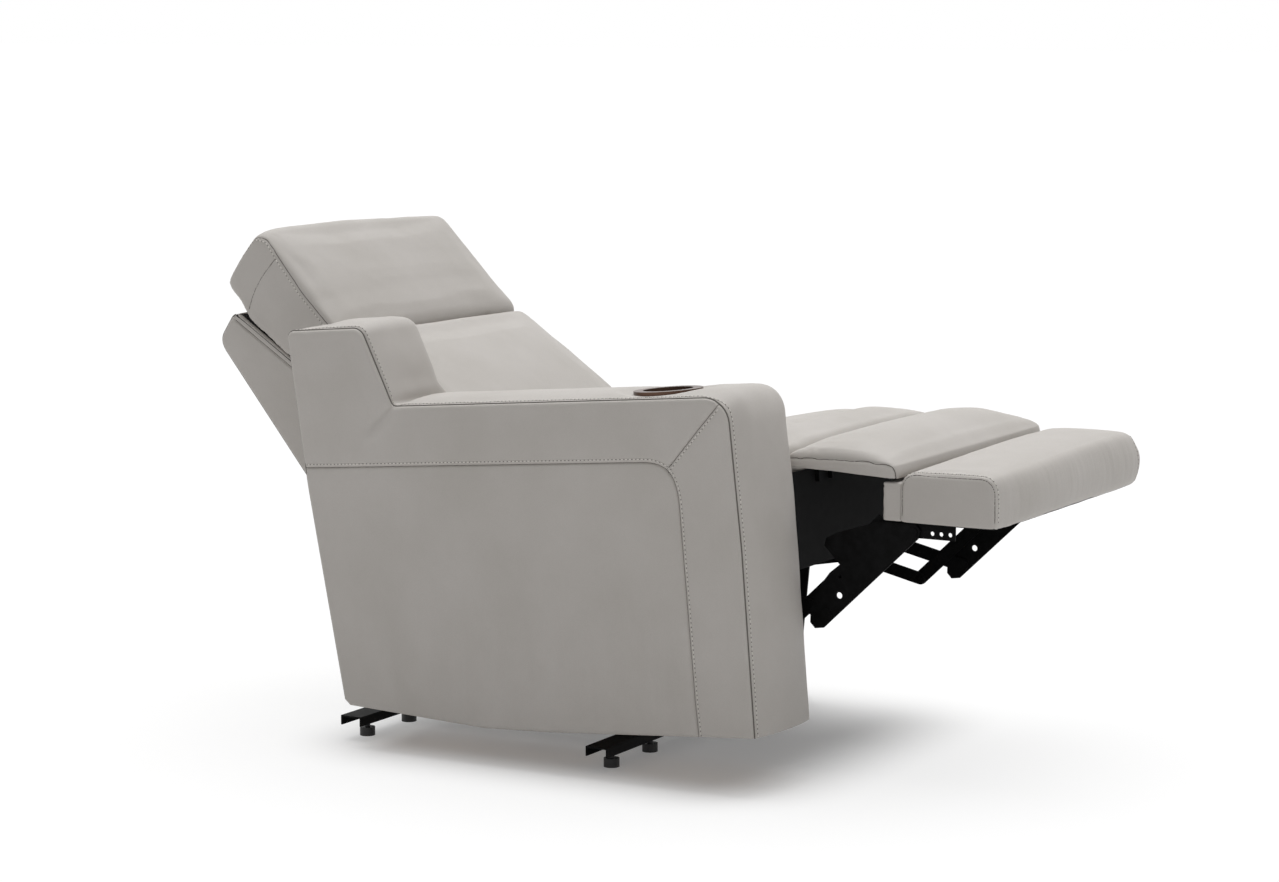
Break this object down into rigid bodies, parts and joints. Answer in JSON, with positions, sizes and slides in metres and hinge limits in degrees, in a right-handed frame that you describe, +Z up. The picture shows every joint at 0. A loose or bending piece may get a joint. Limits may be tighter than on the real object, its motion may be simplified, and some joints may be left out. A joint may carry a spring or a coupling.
{
  "type": "power recliner chair",
  "caption": "Leather power recliner with a padded arm, cup holder, folding footrest, reclining back and tilting headrest, shown reclined.",
  "frame": {"origin": "centre of the overall box on the floor, in the reclined pose of the picture", "axes": "+Z up, -Y forward, the arm is on the -X side"},
  "size_m": [0.862, 1.6468, 0.925],
  "materials": {
    "leather": "smooth upholstery leather, satin",
    "black_steel": "black enamel, satin",
    "wood": "bare plywood and softwood",
    "black_cloth": "black woven dust cloth",
    "black_plastic": "matte",
    "cup_metal": "dark bronze, satin",
    "steel": "plain steel"
  },
  "bodies": {
    "base": {"base_front_cross_rail": "black_steel", "base_rear_cross_rail": "black_steel", "base_side_rails": "black_steel", "base_feet": "black_plastic"},
    "rear_swing": {"rear_swing_links": "black_steel", "swing_cross_tube": "black_steel"},
    "front_swing": {"front_swing_links": "black_steel"},
    "carriage": {"outer_side_plates": "black_steel", "inner_side_plates": "black_steel", "seat_side_rails": "wood", "seat_cross_boards": "wood", "seat_webbing": "black_cloth", "front_board": "black_cloth", "far_side_cover": "leather", "connector_plate": "black_steel", "far_cover_cleats": "wood", "arm_brackets": "black_steel", "seat_cushion": "leather", "arm_outer_panel": "leather", "arm_inner_panel": "leather", "arm_top_pad": "leather", "cup_holder": "cup_metal", "arm_frame": "wood", "control_panel": "black_plastic", "footrest_drive_rail": "black_steel", "footrest_motor": "black_plastic", "recline_drive_rail": "black_steel", "recline_motor": "black_plastic", "power_box": "black_plastic", "calf_hinge_leaves": "black_steel"},
    "lift": {"lift_links": "black_steel"},
    "front_link": {"front_links": "black_steel"},
    "cross_link": {"cross_links": "black_steel"},
    "lower_link": {"lower_links": "black_steel"},
    "ottoman": {"ottoman_brackets": "black_steel", "ottoman_board": "wood", "ottoman_cushion": "leather", "ottoman_flap": "leather"},
    "calf": {"calf_board": "wood", "calf_cushion": "leather", "calf_hinge_barrels": "black_steel"},
    "back": {"back_shell": "leather", "back_frame": "wood", "back_brackets": "black_steel", "back_webbing": "black_cloth", "back_upper_panel": "black_cloth", "back_cushion": "leather", "headrest_brackets": "black_steel", "headrest_motor": "black_plastic"},
    "headrest": {"headrest_cushion": "leather", "headrest_tube": "steel"},
    "footrest_slide_block": {"footrest_slider": "black_plastic"},
    "recline_slide_block": {"recline_slider": "black_plastic"},
    "headrest_slide_block": {"headrest_slider": "black_plastic"},
    "button_recline_body": {"button_recline": "black_plastic"},
    "button_upright_body": {"button_upright": "black_plastic"},
    "button_head_forward_body": {"button_head_forward": "black_plastic"},
    "button_head_back_body": {"button_head_back": "black_plastic"}
  },
  "joints": [
    {"name": "rear_swing_pivot", "type": "hinge", "parent": "base", "child": "rear_swing", "pos_m": [0.111, 0.3166, 0.062], "axis": [1, 0, 0], "range_deg": [-39.54, 0]},
    {"name": "carriage_pivot", "type": "hinge", "parent": "rear_swing", "child": "carriage", "pos_m": [0.111, 0.24463, 0.25197], "axis": [1, 0, 0], "range_deg": [0, 44.26]},
    {"name": "front_swing_pivot", "type": "hinge", "parent": "base", "child": "front_swing", "pos_m": [0.111, -0.1324, 0.062], "axis": [1, 0, 0], "range_deg": [-36.32, 0]},
    {"name": "lift_pivot", "type": "hinge", "parent": "carriage", "child": "lift", "pos_m": [0.111, -0.28301, 0.3424], "axis": [1, 0, 0], "range_deg": [0, 106.8]},
    {"name": "front_link_pivot", "type": "hinge", "parent": "lift", "child": "front_link", "pos_m": [0.111, -0.48738, 0.29409], "axis": [1, 0, 0], "range_deg": [-102.47, 0]},
    {"name": "ottoman_pivot", "type": "hinge", "parent": "front_link", "child": "ottoman", "pos_m": [0.111, -0.65395, 0.45327], "axis": [1, 0, 0], "range_deg": [0, 80.97]},
    {"name": "cross_link_pivot", "type": "hinge", "parent": "lift", "child": "cross_link", "pos_m": [0.111, -0.44553, 0.30398], "axis": [1, 0, 0], "range_deg": [-108.17, 0]},
    {"name": "lower_link_pivot", "type": "hinge", "parent": "carriage", "child": "lower_link", "pos_m": [0.111, -0.23965, 0.30093], "axis": [1, 0, 0], "range_deg": [0, 106.53]},
    {"name": "calf_hinge", "type": "hinge", "parent": "carriage", "child": "calf", "pos_m": [0.111, -0.43135, 0.54836], "axis": [1, 0, 0], "range_deg": [0, 85.32]},
    {"name": "back_pivot", "type": "hinge", "parent": "carriage", "child": "back", "pos_m": [0.111, 0.19557, 0.38745], "axis": [1, 0, 0], "range_deg": [0, 28.7]},
    {"name": "headrest_pivot", "type": "hinge", "parent": "back", "child": "headrest", "pos_m": [0.111, 0.58978, 0.73884], "axis": [1, 0, 0], "range_deg": [0, 35]},
    {"name": "footrest_slide", "type": "slide", "parent": "carriage", "child": "footrest_slide_block", "axis": [0, 0.9966, -0.0819], "range_m": [0, 0.1502]},
    {"name": "recline_slide", "type": "slide", "parent": "carriage", "child": "recline_slide_block", "axis": [0, 0.9966, -0.0819], "range_m": [-0.1502, 0]},
    {"name": "headrest_slide", "type": "slide", "parent": "back", "child": "headrest_slide_block", "axis": [0, 0.8387, 0.5446], "range_m": [0, 0.0402]},
    {"name": "button_recline_press", "type": "slide", "parent": "carriage", "child": "button_recline_body", "axis": [-1, 0, 0], "range_m": [0, 0.0015], "stiffness_N_per_m": 400},
    {"name": "button_upright_press", "type": "slide", "parent": "carriage", "child": "button_upright_body", "axis": [-1, 0, 0], "range_m": [0, 0.0015], "stiffness_N_per_m": 400},
    {"name": "button_head_forward_press", "type": "slide", "parent": "carriage", "child": "button_head_forward_body", "axis": [-1, 0, 0], "range_m": [0, 0.0015], "stiffness_N_per_m": 400},
    {"name": "button_head_back_press", "type": "slide", "parent": "carriage", "child": "button_head_back_body", "axis": [-1, 0, 0], "range_m": [0, 0.0015], "stiffness_N_per_m": 400}
  ],
  "couplings": [
    {"joint": "carriage_pivot", "follows": "rear_swing_pivot", "ratio": -1.1189},
    {"joint": "front_swing_pivot", "follows": "rear_swing_pivot", "ratio": 0.91804},
    {"joint": "front_link_pivot", "follows": "lift_pivot", "ratio": -0.95927},
    {"joint": "ottoman_pivot", "follows": "lift_pivot", "ratio": 0.75796},
    {"joint": "cross_link_pivot", "follows": "lift_pivot", "ratio": -1.0126},
    {"joint": "lower_link_pivot", "follows": "lift_pivot", "ratio": 0.99728},
    {"joint": "calf_hinge", "follows": "lift_pivot", "ratio": 0.79869},
    {"joint": "footrest_slide", "follows": "lift_pivot", "m_per_rad": 0.080472},
    {"joint": "recline_slide", "follows": "back_pivot", "m_per_rad": -0.29946},
    {"joint": "headrest_slide", "follows": "headrest_pivot", "m_per_rad": 0.065481}
  ]
}
